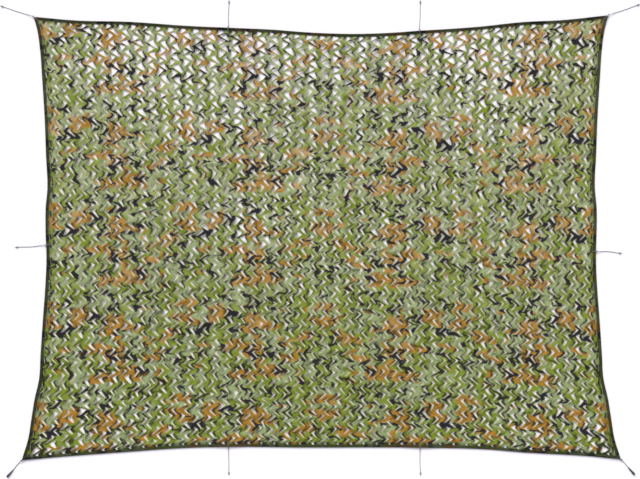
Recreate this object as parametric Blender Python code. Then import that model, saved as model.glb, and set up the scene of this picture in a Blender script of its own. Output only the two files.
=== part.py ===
"""A leaf-cut camouflage net, about four metres by three, with a rolled hem and ten ties.

The net lies flat on a floor in the outline that it has when its ties pull it out: drawn in
between its corners and, less, between its ties. Its long side runs along X, its upper edge
faces +Y, and its origin is the middle of its outline, on the floor. All sizes are in metres.
"""

import math
from collections import namedtuple

import bmesh
import bpy
import numpy as np

# ---------------------------------------------------------------- driving dimensions

CORNERS = {
    "top_left": (-2.011, 1.545),
    "top_right": (2.007, 1.556),
    "bottom_right": (2.095, -1.549),
    "bottom_left": (-2.095, -1.556),
}

SHEET_THICKNESS = 0.003
LEAF_PITCH = (0.089, 0.0817)  # one repeat of the die-cut leaves, across and up
RIDGE_PITCH = 2  # the raised zigzag ridges stand for every second row of leaves
RIDGE_HEIGHT = 0.012  # how far the cut leaves stand off the floor
RIDGE_SWAY = 0.2  # how far a ridge zigzags, as a share of its own pitch

HEM_WIDTH = 0.020
HEM_HEIGHT = 0.010

CORD_DIAMETER = 0.004
CORD_CLEARANCE = 0.0006  # between a hitch and the hem that it holds
SEAT_GAP = 0.0003  # between a cord's ends and the pieces that they meet
HITCH_KNOT_RADIUS = 0.0050
GAP_EDGE = 0.0026  # from the hem's stitching to the gap that a hitch goes through
GAP_DEPTH = 0.036
TIE_GAP_SPAN = (0.27, 0.73)  # the share of its cell that such a gap takes along the hem

HEM_LIFT = CORD_DIAMETER + CORD_CLEARANCE  # a hitch's lower side lies between hem and floor
HITCH_HEIGHT = HEM_LIFT + HEM_HEIGHT / 2
KNOT_HEIGHT = 0.0024  # middle of a cord where it enters its end knot

# How far each edge is drawn in from the straight line between its corners.
# columns: share of the way along the edge, draw-in
TOP_DRAW = (
    (0.00, 0.000),
    (0.08, 0.027),
    (0.16, 0.035),
    (0.27, 0.066),
    (0.34, 0.080),
    (0.41, 0.092),
    (0.48, 0.114),
    (0.56, 0.125),
    (0.62, 0.118),
    (0.67, 0.105),
    (0.78, 0.075),
    (0.85, 0.046),
    (0.92, 0.032),
    (1.00, 0.000),
)
BOTTOM_DRAW = (
    (0.00, 0.000),
    (0.08, 0.028),
    (0.18, 0.058),
    (0.26, 0.081),
    (0.35, 0.091),
    (0.46, 0.086),
    (0.66, 0.083),
    (0.78, 0.069),
    (0.83, 0.051),
    (0.95, 0.020),
    (1.00, 0.000),
)
SIDE_DRAW = (  # from the top down
    (0.00, 0.000),
    (0.03, 0.027),
    (0.07, 0.048),
    (0.14, 0.070),
    (0.23, 0.095),
    (0.31, 0.111),
    (0.39, 0.127),
    (0.43, 0.119),
    (0.47, 0.121),
    (0.54, 0.134),
    (0.61, 0.131),
    (0.68, 0.121),
    (0.76, 0.111),
    (0.82, 0.104),
    (0.86, 0.079),
    (0.91, 0.058),
    (0.95, 0.042),
    (1.00, 0.000),
)

# The hem's section, from its inner edge over the rolled top to its foot.
# columns: distance in from the edge as a share of HEM_WIDTH, height as a share of HEM_HEIGHT
HEM_SECTION = (
    (0.70, 0.90),
    (0.25, 0.95),
    (0.00, 0.50),
    (0.20, 0.00),
)

# The ties. A corner tie holds a corner, the others hold an edge a share of the way along it,
# left to right or bottom to top. Run is the cord's way in X and Y from the net's edge to its
# end knot, and bow is how far it swings aside.
Tie = namedtuple("Tie", "name hold share run bow knot")
TIES = (
    Tie("corner_top_left", "top_left", None, (-0.2205, 0.0735), 0.0020, "small"),
    Tie("top_left", "top", 0.3385, (0.0050, 0.1785), 0.0015, "small"),
    Tie("top_right", "top", 0.6718, (0.0060, 0.1995), -0.0015, "small"),
    Tie("corner_top_right", "top_right", None, (0.2100, 0.0735), -0.0020, "small"),
    Tie("side_right", "right", 0.4680, (0.1680, -0.0120), 0.0050, "small"),
    Tie("corner_bottom_right", "bottom_right", None, (0.0980, -0.1085), 0.0015, "long"),
    Tie("bottom_right", "bottom", 0.6647, (0.0040, -0.1785), -0.0020, "small"),
    Tie("bottom_left", "bottom", 0.3449, (0.0040, -0.1820), 0.0020, "small"),
    Tie("corner_bottom_left", "bottom_left", None, (-0.1050, -0.1190), -0.0015, "long"),
    Tie("side_left", "left", 0.4860, (-0.2030, -0.0155), 0.0050, "small"),
)

# A tie's way from its hitch down to the floor and up into its end knot.
# columns: share of the run, share of the bow, height of the cord's middle
CORD_ROUTE = (
    (0.00, 0.00, HITCH_HEIGHT),
    (0.10, 0.20, 0.0070),
    (0.22, 0.50, 0.0034),
    (0.35, 0.80, 0.0022),
    (0.50, 1.00, 0.0021),
    (0.65, 0.85, 0.0021),
    (0.80, 0.40, 0.0021),
    (0.92, 0.08, 0.0022),
    (1.00, 0.00, KNOT_HEIGHT),
)

# End knots, from the cord's end outwards.
# columns: distance along, height of the middle, half width, half height
SMALL_KNOT = (
    (0.0000, KNOT_HEIGHT, 0.0022, 0.0022),
    (0.0016, 0.0044, 0.0048, 0.0042),
    (0.0050, 0.0052, 0.0066, 0.0052),
    (0.0092, 0.0047, 0.0052, 0.0045),
    (0.0118, 0.0030, 0.0024, 0.0024),
    (0.0175, 0.0021, 0.0020, 0.0020),
    (0.0230, 0.0021, 0.0018, 0.0018),
)
LONG_KNOT = (
    (0.0000, KNOT_HEIGHT, 0.0024, 0.0024),
    (0.0040, 0.0038, 0.0040, 0.0036),
    (0.0180, 0.0050, 0.0050, 0.0046),
    (0.0320, 0.0058, 0.0060, 0.0055),
    (0.0460, 0.0068, 0.0072, 0.0066),
    (0.0580, 0.0074, 0.0082, 0.0072),
    (0.0660, 0.0070, 0.0066, 0.0060),
    (0.0690, 0.0066, 0.0034, 0.0032),
)
KNOTS = {"small": SMALL_KNOT, "long": LONG_KNOT}

KNOT_SEAT = {"small": 0.0050, "long": 0.0690}  # how far the run reaches into an end knot

LEAF_GREEN = (0.26, 0.33, 0.13, 1.0)
CORD_COLOURS = {"small": (0.30, 0.30, 0.28, 1.0), "long": (0.03, 0.03, 0.03, 1.0)}
CLOTH_ROUGHNESS = 0.85
CORD_ROUGHNESS = 0.80

# ---------------------------------------------------------------- how finely it is made

COLUMNS = 46  # one to each side of every ridge
ROWS = 37  # one to each bend of the zigzag
HITCH_SIDES = 6
HITCH_KNOT_STEPS = 1.6  # how many steps along a hitch its knot fades over
KNOT_SIDES = 8
CORD_POINT_SPACING = 2.6  # in cord diameters

# Which cell of the cloth each edge tie holds, counted from the left or from the bottom.
TIE_COLUMNS = (15, 30)
TIE_ROW = 17


# ---------------------------------------------------------------- small helpers


def smooth_read(rows, share):
    """Read a table at a share of its first column, on a smooth curve through its rows."""
    table = np.array(rows, dtype=float)
    keys, values = table[:, 0], table[:, 1:]
    slopes = np.gradient(values, keys, axis=0)
    k = int(np.clip(np.searchsorted(keys, share) - 1, 0, len(keys) - 2))
    span = keys[k + 1] - keys[k]
    t = (share - keys[k]) / span
    return (
        values[k] * (2 * t**3 - 3 * t**2 + 1)
        + slopes[k] * span * (t**3 - 2 * t**2 + t)
        + values[k + 1] * (3 * t**2 - 2 * t**3)
        + slopes[k + 1] * span * (t**3 - t**2)
    )


def unit(vector):
    return np.array(vector, dtype=float) / np.linalg.norm(vector)


def clear_scene():
    for thing in list(bpy.data.objects):
        bpy.data.objects.remove(thing, do_unlink=True)


def finish_with(thing, name, colour, roughness):
    """Give a piece its own material."""
    material = bpy.data.materials.new(name)
    material.use_nodes = True
    shader = material.node_tree.nodes["Principled BSDF"]
    shader.inputs["Base Color"].default_value = colour
    shader.inputs["Roughness"].default_value = roughness
    shader.inputs["Metallic"].default_value = 0.0
    thing.data.materials.append(material)


def add_piece(name, points, faces, colour, roughness, smooth=False):
    """Add a closed mesh as a named piece, with its faces turned outwards."""
    mesh = bpy.data.meshes.new(name)
    mesh.from_pydata([tuple(float(c) for c in p) for p in points], [], faces)
    shell = bmesh.new()
    shell.from_mesh(mesh)
    bmesh.ops.recalc_face_normals(shell, faces=shell.faces)
    shell.to_mesh(mesh)
    shell.free()
    if smooth:
        mesh.shade_smooth()
    piece = bpy.data.objects.new(name, mesh)
    bpy.context.collection.objects.link(piece)
    finish_with(piece, name, colour, roughness)
    return piece


# ---------------------------------------------------------------- the net's outline


def edge_point(edge, share):
    """A point on the net's outline, a share of the way left to right or bottom to top."""
    if edge in ("top", "bottom"):
        start, end = np.array(CORNERS[edge + "_left"]), np.array(CORNERS[edge + "_right"])
        rows = TOP_DRAW if edge == "top" else BOTTOM_DRAW
        inward = np.array((0.0, -1.0 if edge == "top" else 1.0))
        draw = smooth_read(rows, share)[0]
    else:
        start, end = np.array(CORNERS["bottom_" + edge]), np.array(CORNERS["top_" + edge])
        inward = np.array((1.0 if edge == "left" else -1.0, 0.0))
        draw = smooth_read(SIDE_DRAW, 1.0 - share)[0]
    return start + (end - start) * share + inward * draw


def edge_ties(edge):
    """The shares of an edge at which ties hold it."""
    return sorted(tie.share for tie in TIES if tie.hold == edge)


def edge_share(edge, number):
    """The share of an edge at one of the cloth's grid lines, with each tie mid-cell."""
    if edge in ("top", "bottom"):
        count, cells = COLUMNS, TIE_COLUMNS
    else:
        count, cells = ROWS, (TIE_ROW,)
    lines = [0.0] + [cell + 0.5 for cell in cells] + [float(count)]
    return float(np.interp(number, lines, [0.0] + edge_ties(edge) + [1.0]))


def tied_line(edge, share):
    """The two ends of the stretch of hem that an edge tie holds in its middle."""
    number = edge_ties(edge).index(share)
    if edge in ("top", "bottom"):
        i, j = TIE_COLUMNS[number], 0 if edge == "bottom" else ROWS
        return outline_point(i, j), outline_point(i + 1, j)
    i = 0 if edge == "left" else COLUMNS
    return outline_point(i, TIE_ROW), outline_point(i, TIE_ROW + 1)


def outline_cells():
    """The grid places round the cloth's rim, anticlockwise from the lower left corner."""
    return (
        [(i, 0) for i in range(COLUMNS)]
        + [(COLUMNS, j) for j in range(ROWS)]
        + [(i, ROWS) for i in range(COLUMNS, 0, -1)]
        + [(0, j) for j in range(ROWS, 0, -1)]
    )


def outline_point(i, j):
    if j in (0, ROWS):
        edge = "bottom" if j == 0 else "top"
        return edge_point(edge, edge_share(edge, i))
    edge = "left" if i == 0 else "right"
    return edge_point(edge, edge_share(edge, j))


def inward_steps(outline):
    """For each point of an anticlockwise outline, the step that is one unit further in."""
    steps = []
    for k, here in enumerate(outline):
        before = unit(here - outline[k - 1])
        after = unit(outline[(k + 1) % len(outline)] - here)
        turned = np.array((-before[1] - after[1], before[0] + after[0]))
        steps.append(turned / (1.0 + before @ after))
    return steps


# ---------------------------------------------------------------- the cloth


def patch_point(rim, i, j):
    """A point of the cloth, spread evenly between its four edges."""
    u, v = i / COLUMNS, j / ROWS
    along = (1 - v) * rim[i, 0] + v * rim[i, ROWS] + (1 - u) * rim[0, j] + u * rim[COLUMNS, j]
    low = (1 - u) * rim[0, 0] + u * rim[COLUMNS, 0]
    high = (1 - u) * rim[0, ROWS] + u * rim[COLUMNS, ROWS]
    return along - (1 - v) * low - v * high


def looseness(u, v):
    """How far the leaves stand up: nothing where the net lies on the floor, 1.25 at most."""
    broad = -math.cos(3.2 * math.pi * (u - 0.5)) * math.cos(2.4 * math.pi * (v - 0.5))
    fine = math.sin(7.1 * math.pi * u - 2.0 * v) * math.sin(5.3 * math.pi * v + 1.1)
    return float(np.clip(0.64 + 0.66 * broad + 0.36 * fine, 0.0, 1.25))


def hem_lifts():
    """How far each grid place on the rim is raised by the hitches that pass below it."""
    lifts = {}
    for column in TIE_COLUMNS:
        for place in (column, column + 1):
            lifts[place, 0] = HEM_LIFT
            lifts[place, ROWS] = HEM_LIFT
    for side in (0, COLUMNS):
        lifts[side, TIE_ROW] = HEM_LIFT
        lifts[side, TIE_ROW + 1] = HEM_LIFT
        inner = 1 if side == 0 else COLUMNS - 1
        for level in (0, ROWS):
            lifts[side, level] = HEM_LIFT
            lifts[inner, level] = HEM_LIFT / 2
            lifts[side, 1 if level == 0 else ROWS - 1] = HEM_LIFT / 2
    return lifts


def tie_gaps():
    """The leaf cuts that the hitches go through.

    Each is a cell of the cloth with the gap's low and high share across it and up it.
    """
    near = GAP_EDGE / LEAF_PITCH[1]
    far = GAP_DEPTH / LEAF_PITCH[1]
    beside, span = (near, near + far), TIE_GAP_SPAN
    against, last = (1 - near - far, 1 - near), COLUMNS - 1
    gaps = {}
    for column in TIE_COLUMNS:
        gaps[column, 0] = (span, beside)
        gaps[column, ROWS - 1] = (span, against)
    gaps[0, TIE_ROW] = (beside, span)
    gaps[last, TIE_ROW] = (against, span)
    gaps[0, 0] = (beside, beside)
    gaps[last, 0] = (against, beside)
    gaps[0, ROWS - 1] = (beside, against)
    gaps[last, ROWS - 1] = (against, against)
    return gaps


def cloth_surface(rim, lifts):
    """The cloth's underside: flat on the floor, with zigzag ridges where the leaves rise."""
    under = {}
    for i in range(COLUMNS + 1):
        for j in range(ROWS + 1):
            inside = 0 < i < COLUMNS and 0 < j < ROWS
            x, y = patch_point(rim, i, j)
            height = lifts.get((i, j), 0.0)
            if inside:
                x += (-1) ** j * RIDGE_SWAY * RIDGE_PITCH * LEAF_PITCH[0] / 2
            if inside and i % RIDGE_PITCH == 1 and 1 < i < COLUMNS - 1:
                height = RIDGE_HEIGHT * looseness(i / COLUMNS, j / ROWS)
            under[i, j] = np.array((x, y, height))
    return under


def make_cloth():
    """The net's cloth with its rolled hem, as one closed solid."""
    places = outline_cells()
    outline = [outline_point(i, j) for i, j in places]
    steps = inward_steps(outline)
    lifts = hem_lifts()
    rim = {
        place: outline[k] + HEM_WIDTH * steps[k] for k, place in enumerate(places)
    }
    under = cloth_surface(rim, lifts)

    points, faces, index = [], [], {}

    def corner(key, place):
        if key not in index:
            index[key] = len(points)
            points.append(place)
        return index[key]

    def cloth_corner(i, j, side):
        rise = SHEET_THICKNESS if side == "over" else 0.0
        return corner((i, j, side), under[i, j] + np.array((0.0, 0.0, rise)))

    def gap_corner(i, j, a, b, side):
        across, up = gaps[i, j][0][a], gaps[i, j][1][b]
        place = (
            under[i, j] * (1 - across) * (1 - up)
            + under[i + 1, j] * across * (1 - up)
            + under[i, j + 1] * (1 - across) * up
            + under[i + 1, j + 1] * across * up
        )
        rise = SHEET_THICKNESS if side == "over" else 0.0
        return corner((i, j, a, b, side), place + np.array((0.0, 0.0, rise)))

    gaps = tie_gaps()
    turn = ((0, 0), (1, 0), (1, 1), (0, 1))
    for i in range(COLUMNS):
        for j in range(ROWS):
            rings = {}
            for side in ("under", "over"):
                outer = [cloth_corner(i + a, j + b, side) for a, b in turn]
                if (i, j) not in gaps:
                    faces.append(outer)
                    continue
                inner = [gap_corner(i, j, a, b, side) for a, b in turn]
                rings[side] = inner
                for k in range(4):
                    n = (k + 1) % 4
                    faces.append([outer[k], outer[n], inner[n], inner[k]])
            if rings:
                for k in range(4):
                    n = (k + 1) % 4
                    wall = [rings["under"][k], rings["under"][n]]
                    faces.append(wall + [rings["over"][n], rings["over"][k]])

    # the hem, rolled outwards from the cloth's upper face round to its lower one
    def hem_corner(k, row):
        place = places[k]
        if row < 0:
            return cloth_corner(*place, "over")
        if row == len(HEM_SECTION):
            return cloth_corner(*place, "under")
        inset, rise = HEM_SECTION[row]
        plan = outline[k] + steps[k] * inset * HEM_WIDTH
        height = lifts.get(place, 0.0) + rise * HEM_HEIGHT
        return corner(("hem", k, row), np.array((plan[0], plan[1], height)))

    for k in range(len(places)):
        n = (k + 1) % len(places)
        for row in range(-1, len(HEM_SECTION)):
            strip = [hem_corner(k, row), hem_corner(n, row)]
            faces.append(strip + [hem_corner(n, row + 1), hem_corner(k, row + 1)])

    return add_piece("net_cloth", points, faces, LEAF_GREEN, CLOTH_ROUGHNESS)


# ---------------------------------------------------------------- the ties


def tie_hold(tie):
    """Where a tie holds the net: its point on the outline, the way out of the net there,
    and how much further in a corner's slant puts the hem's lines than a straight edge does."""
    place = tie.hold
    if tie.share is not None:
        low, high = tied_line(place, tie.share)
        here, along = (low + high) / 2, unit(high - low)
        out = np.array((along[1], -along[0]))
        return here, out * math.copysign(1.0, out @ here), 1.0
    corner = np.array(CORNERS[place])
    i, j = (0 if "left" in place else COLUMNS), (0 if "bottom" in place else ROWS)
    beside = unit(outline_point(abs(i - 1), j) - corner)
    above = unit(outline_point(i, abs(j - 1)) - corner)
    half_angle = math.acos(float(beside @ above)) / 2
    return corner, -unit(beside + above), 1 / math.sin(half_angle)


def hitch_section(slant):
    """The section of hem and cloth that a hitch is laid round, from the gap's edge outwards.

    Each corner is its distance out from the net's edge and its height.
    """
    clear = CORD_DIAMETER / 2 + CORD_CLEARANCE
    reach = (HEM_WIDTH + GAP_EDGE) * slant + clear * (slant - 1)
    rows = [(-reach, 0.0), (-reach, SHEET_THICKNESS)]
    rows += [(-inset * HEM_WIDTH * slant, rise * HEM_HEIGHT) for inset, rise in HEM_SECTION]
    return np.array(rows) + (0.0, HEM_LIFT)


def make_hitch(tie):
    """A tie's loop round the hem, drawn tight into a knot at the net's edge."""
    here, out, slant = tie_hold(tie)
    outward, upward = np.array((out[0], out[1], 0.0)), np.array((0.0, 0.0, 1.0))
    sideways = np.array((-out[1], out[0], 0.0))
    foot = np.array((here[0], here[1], 0.0))
    section = hitch_section(slant)
    turned = [unit(section[(k + 1) % len(section)] - p) for k, p in enumerate(section)]
    normals = [np.array((-d[1], d[0])) for d in turned]
    knot_step = 3 * int(np.argmax(section[:, 0])) + 1
    points = []
    for k, (distance, height) in enumerate(section):
        bend = (normals[k - 1], unit(normals[k - 1] + normals[k]), normals[k])
        for step, normal in enumerate(bend, start=3 * k):
            swell = math.exp(-(((step - knot_step) / HITCH_KNOT_STEPS) ** 2))
            radius = CORD_DIAMETER / 2 + (HITCH_KNOT_RADIUS - CORD_DIAMETER / 2) * swell
            across = outward * normal[0] + upward * normal[1]
            middle = foot + outward * distance + upward * height
            middle = middle + across * (radius + CORD_CLEARANCE)
            for s in range(HITCH_SIDES):
                turn = 2 * math.pi * (s + 0.5) / HITCH_SIDES
                around = math.cos(turn) * across + math.sin(turn) * sideways
                points.append(middle + radius * around)
    faces = []
    rings = len(points) // HITCH_SIDES
    for k in range(rings):
        ring, following = k * HITCH_SIDES, (k + 1) % rings * HITCH_SIDES
        for s in range(HITCH_SIDES):
            t = (s + 1) % HITCH_SIDES
            faces.append([ring + s, ring + t, following + t, following + s])
    name, colour = "tie_hitch_" + tie.name, CORD_COLOURS[tie.knot]
    return add_piece(name, points, faces, colour, CORD_ROUGHNESS, smooth=True)


def cord_ends(tie):
    """Where a tie's cord leaves its hitch, and where it enters its end knot."""
    here, out, _ = tie_hold(tie)
    along = unit(tie.run)
    aside = math.acos(float(np.clip(out @ along, -1.0, 1.0)))
    turns = [2 * math.pi * (s + 0.5) / HITCH_SIDES for s in range(HITCH_SIDES)]
    knot_face = HITCH_KNOT_RADIUS * max(math.cos(turn - aside) for turn in turns)
    knot_middle = here + out * (HITCH_KNOT_RADIUS + CORD_CLEARANCE)
    start = knot_middle + along * (knot_face + SEAT_GAP)
    end = here + np.array(tie.run) - along * (KNOT_SEAT[tie.knot] + SEAT_GAP)
    return start, end


def make_cord(tie):
    """A tie's cord, from its hitch to its end knot."""
    start, end = cord_ends(tie)
    run = end - start
    sideways = np.array((-run[1], run[0])) / np.linalg.norm(run)
    count = math.ceil(np.linalg.norm(run) / (CORD_POINT_SPACING * CORD_DIAMETER)) + 1
    curve = bpy.data.curves.new("tie_cord_" + tie.name, "CURVE")
    curve.dimensions = "3D"
    curve.resolution_u = 1
    curve.bevel_depth = CORD_DIAMETER / 2
    curve.bevel_resolution = 2
    curve.use_fill_caps = True
    spline = curve.splines.new("POLY")
    spline.points.add(count - 1)
    for k in range(count):
        share = k / (count - 1)
        bow, height = smooth_read(CORD_ROUTE, share)
        x, y = start + run * share + sideways * tie.bow * bow
        spline.points[k].co = (x, y, height, 1.0)
    cord = bpy.data.objects.new("tie_cord_" + tie.name, curve)
    bpy.context.collection.objects.link(cord)
    finish_with(cord, "tie_cord_" + tie.name, CORD_COLOURS[tie.knot], CORD_ROUGHNESS)
    return cord


def make_knot(tie):
    """The knot at a tie's free end, with its short tail."""
    _, end = cord_ends(tie)
    along = unit(tie.run)
    side = np.array((-along[1], along[0], 0.0))
    section = KNOTS[tie.knot]
    points, faces = [], []
    for distance, height, half_width, half_height in section:
        x, y = end + along * (distance + SEAT_GAP)
        for s in range(KNOT_SIDES):
            turn = 2 * math.pi * s / KNOT_SIDES
            rise = np.array((0.0, 0.0, half_height * math.sin(turn)))
            points.append(np.array((x, y, height)) + half_width * math.cos(turn) * side + rise)
    for k in range(len(section) - 1):
        for s in range(KNOT_SIDES):
            t = (s + 1) % KNOT_SIDES
            ring, following = k * KNOT_SIDES, (k + 1) * KNOT_SIDES
            faces.append([ring + s, ring + t, following + t, following + s])
    faces.append(list(range(KNOT_SIDES)))
    faces.append(list(range(len(points) - KNOT_SIDES, len(points))))
    name, colour = "tie_knot_" + tie.name, CORD_COLOURS[tie.knot]
    return add_piece(name, points, faces, colour, CORD_ROUGHNESS, smooth=True)


def main():
    clear_scene()
    make_cloth()
    for tie in TIES:
        make_hitch(tie)
        make_cord(tie)
        make_knot(tie)


main()
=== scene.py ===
"""The looks of a leaf-cut camouflage net: its cut and printed cloth, rope hem and knotted ties.

All sizes are in metres. The net lies on the floor in the outline of the frame's cloth, with
its long side along X and its upper edge towards +Y.
"""

import math
from collections import namedtuple

import bpy
import numpy as np
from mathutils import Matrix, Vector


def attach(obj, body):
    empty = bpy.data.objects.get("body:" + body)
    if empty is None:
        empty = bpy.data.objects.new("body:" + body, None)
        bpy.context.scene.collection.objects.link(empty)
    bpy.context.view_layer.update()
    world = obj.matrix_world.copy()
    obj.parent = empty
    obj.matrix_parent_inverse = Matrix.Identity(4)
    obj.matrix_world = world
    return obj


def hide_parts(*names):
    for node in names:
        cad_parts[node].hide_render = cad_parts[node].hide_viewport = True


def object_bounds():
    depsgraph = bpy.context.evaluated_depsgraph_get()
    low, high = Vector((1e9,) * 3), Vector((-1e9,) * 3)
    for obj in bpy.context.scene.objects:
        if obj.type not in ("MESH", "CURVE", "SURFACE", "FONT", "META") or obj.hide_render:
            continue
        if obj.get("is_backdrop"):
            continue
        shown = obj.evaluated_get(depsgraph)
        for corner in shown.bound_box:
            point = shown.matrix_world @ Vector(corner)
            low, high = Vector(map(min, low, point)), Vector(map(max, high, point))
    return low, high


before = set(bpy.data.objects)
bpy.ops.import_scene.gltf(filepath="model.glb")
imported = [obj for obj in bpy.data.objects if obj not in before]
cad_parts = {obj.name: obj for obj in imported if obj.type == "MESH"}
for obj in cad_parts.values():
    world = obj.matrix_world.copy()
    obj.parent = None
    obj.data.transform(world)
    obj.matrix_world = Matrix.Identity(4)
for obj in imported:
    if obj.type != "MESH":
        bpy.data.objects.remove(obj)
solid_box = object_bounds()

# ------------ the frame's own sizes

CORNERS = {
    "top_left": (-2.011, 1.545),
    "top_right": (2.007, 1.556),
    "bottom_right": (2.095, -1.549),
    "bottom_left": (-2.095, -1.556),
}
COLUMNS = 46  # of the cloth's grid, each one repeat of the leaves
ROWS = 37
PITCH = (0.089, 0.0817)  # one repeat of the leaves, across and up
TIE_COLUMNS = (15, 30)  # where the ties of the upper and lower edges hold the grid
TIE_ROW = 17  # and those of the side edges

RIDGE_HEIGHT = 0.012
HEM_WIDTH = 0.020
HEM_HEIGHT = 0.010
CORD_DIAMETER = 0.004
CORD_CLEARANCE = 0.0006
SEAT_GAP = 0.0003  # between a cord's end and the knot that it enters
HITCH_KNOT_RADIUS = 0.0050
HITCH_SIDES = 6  # of the knot that closes a hitch
GAP_EDGE = 0.0026  # of the gap that a hitch goes through, in from the hem
HEM_LIFT = CORD_DIAMETER + CORD_CLEARANCE  # of the hem, where a hitch passes below it
HITCH_HEIGHT = HEM_LIFT + HEM_HEIGHT / 2
KNOT_HEIGHT = 0.0024

# The share of the way along each edge, and how far it is drawn in there from a straight line.
TOP_DRAW = (
    (0.00, 0.000), (0.08, 0.027), (0.16, 0.035), (0.27, 0.066), (0.34, 0.080), (0.41, 0.092),
    (0.48, 0.114), (0.56, 0.125), (0.62, 0.118), (0.67, 0.105), (0.78, 0.075), (0.85, 0.046),
    (0.92, 0.032), (1.00, 0.000),
)
BOTTOM_DRAW = (
    (0.00, 0.000), (0.08, 0.028), (0.18, 0.058), (0.26, 0.081), (0.35, 0.091), (0.46, 0.086),
    (0.66, 0.083), (0.78, 0.069), (0.83, 0.051), (0.95, 0.020), (1.00, 0.000),
)
SIDE_DRAW = (  # from the top down
    (0.00, 0.000), (0.03, 0.027), (0.07, 0.048), (0.14, 0.070), (0.23, 0.095), (0.31, 0.111),
    (0.39, 0.127), (0.43, 0.119), (0.47, 0.121), (0.54, 0.134), (0.61, 0.131), (0.68, 0.121),
    (0.76, 0.111), (0.82, 0.104), (0.86, 0.079), (0.91, 0.058), (0.95, 0.042), (1.00, 0.000),
)

# The ties: run is a cord's way in X and Y from the net's edge to its end knot, and bow is
# how far it swings aside.
Tie = namedtuple("Tie", "name hold share run bow knot")
TIES = (
    Tie("corner_top_left", "top_left", None, (-0.2205, 0.0735), 0.0020, "small"),
    Tie("top_left", "top", 0.3385, (0.0050, 0.1785), 0.0015, "small"),
    Tie("top_right", "top", 0.6718, (0.0060, 0.1995), -0.0015, "small"),
    Tie("corner_top_right", "top_right", None, (0.2100, 0.0735), -0.0020, "small"),
    Tie("side_right", "right", 0.4680, (0.1680, -0.0120), 0.0050, "small"),
    Tie("corner_bottom_right", "bottom_right", None, (0.0980, -0.1085), 0.0015, "long"),
    Tie("bottom_right", "bottom", 0.6647, (0.0040, -0.1785), -0.0020, "small"),
    Tie("bottom_left", "bottom", 0.3449, (0.0040, -0.1820), 0.0020, "small"),
    Tie("corner_bottom_left", "bottom_left", None, (-0.1050, -0.1190), -0.0015, "long"),
    Tie("side_left", "left", 0.4860, (-0.2030, -0.0155), 0.0050, "small"),
)
CORD_ROUTE = (  # share of the run, share of the bow, height of the cord's middle
    (0.00, 0.00, HITCH_HEIGHT),
    (0.10, 0.20, 0.0070),
    (0.22, 0.50, 0.0034),
    (0.35, 0.80, 0.0022),
    (0.50, 1.00, 0.0021),
    (0.65, 0.85, 0.0021),
    (0.80, 0.40, 0.0021),
    (0.92, 0.08, 0.0022),
    (1.00, 0.00, KNOT_HEIGHT),
)
ROUTE_POINTS = 40

# The turns of an end knot: the distance out from the cord's end, the height of the knot's
# middle, and its half width and half height.
SMALL_TURNS = (
    (0.0006, 0.0044, 0.0046, 0.0042),
    (0.0040, 0.0052, 0.0066, 0.0052),
    (0.0080, 0.0048, 0.0058, 0.0048),
    (0.0112, 0.0042, 0.0044, 0.0042),
)
LONG_TURNS = (
    (0.0030, 0.0041, 0.0042, 0.0040),
    (0.0180, 0.0050, 0.0050, 0.0048),
    (0.0320, 0.0058, 0.0060, 0.0056),
    (0.0460, 0.0068, 0.0072, 0.0066),
    (0.0580, 0.0074, 0.0082, 0.0072),
    (0.0660, 0.0068, 0.0070, 0.0064),
)
# The small knot's tail: the distance out from the cord's end, and the height.
SMALL_TAIL = ((0.0000, 0.0026), (0.0050, 0.0046), (0.0120, 0.0036), (0.0230, 0.0021))
# The end knots: seat is how far the cord's run reaches into one, and tail_end is how far its
# tail reaches out.
Knot = namedtuple("Knot", "slot seat tail_end turns tail")
KNOTS = {
    "small": Knot("cord_grey", 0.0050, 0.0230, SMALL_TURNS, SMALL_TAIL),
    "long": Knot("cord_black", 0.0690, 0.0690, LONG_TURNS, LONG_TURNS),
}

# ------------ the leaf cuts

CUT_LINES = 2 * COLUMNS  # every second one is half a repeat higher
STEPS = 8  # rows of faces to one repeat of the leaves
ACROSS = 6  # faces from one line of cuts to the next
ZIGZAG = 0.0195  # how far the cuts swing to either side of their line
APEX = 2  # the row of a repeat at which the even lines' cuts point left
CUT_START = 2  # the row of a repeat at which the odd lines' cuts start
CUT_ROWS = 6  # rows of faces along one cut
CUT_LEAST = 3  # of them that lie inside the rim, or the cut is left out
# Along a cut, from its foot to its top: how far it opens, how far the leaf beside it rises,
# and how dark the painted shade is where that leaf folds.
CUT_SHAPE = (0.0, 0.50, 0.80, 0.96, 1.0, 0.72, 0.0)
LEAF_SHAPE = (0.0, 0.30, 0.66, 0.93, 1.0, 0.60, 0.0)
FOLD_SHADE_SHAPE = (0.0, 0.15, 0.50, 0.95, 1.0, 0.60, 0.0)
# The same rise and painted shade of the leaf folds, from the cut's edge inwards.
LEAF_FALL = (1.0, 0.56, 0.20, 0.03, 0.0, 0.0, 0.0)
FOLD_SHADE_FALL = (0.70, 1.0, 0.95, 0.55, 0.18, 0.0, 0.0)

CLOTH_THICKNESS = 0.0006
CLOTH_HEIGHT = 0.0062  # of the cloth's middle over the floor
CLOTH_INSET = 0.0124  # of the cloth's edge under the hem, from the net's edge
SEAM_HEIGHT = 0.0036  # of the cloth's edge, inside the hem's flap
LOFT = 0.0236  # the height that ridge and leaves together come near, and never pass
LEAF_LIFT = 0.0090
LEAF_DIP = 0.0045
LEAF_PULL = 0.30  # how far a raised edge draws back, as a share of its rise
BACK_FOLD_SHADE = 0.42  # how dark the painted shade on the cut's other side is, against that of the leaf folds
HOLLOW_EDGE_HIGHLIGHT = 0.55  # how bright the painted highlight on the leaf's own edge is, against the other side
EDGE_HIGHLIGHT_SPREAD = 0.25  # how much of the painted highlight the cloth still has, one face in from a cut
NET_STRIPS = 5
BAKE_MARGIN = 0.006  # of the bake map, left free round its rim

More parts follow.
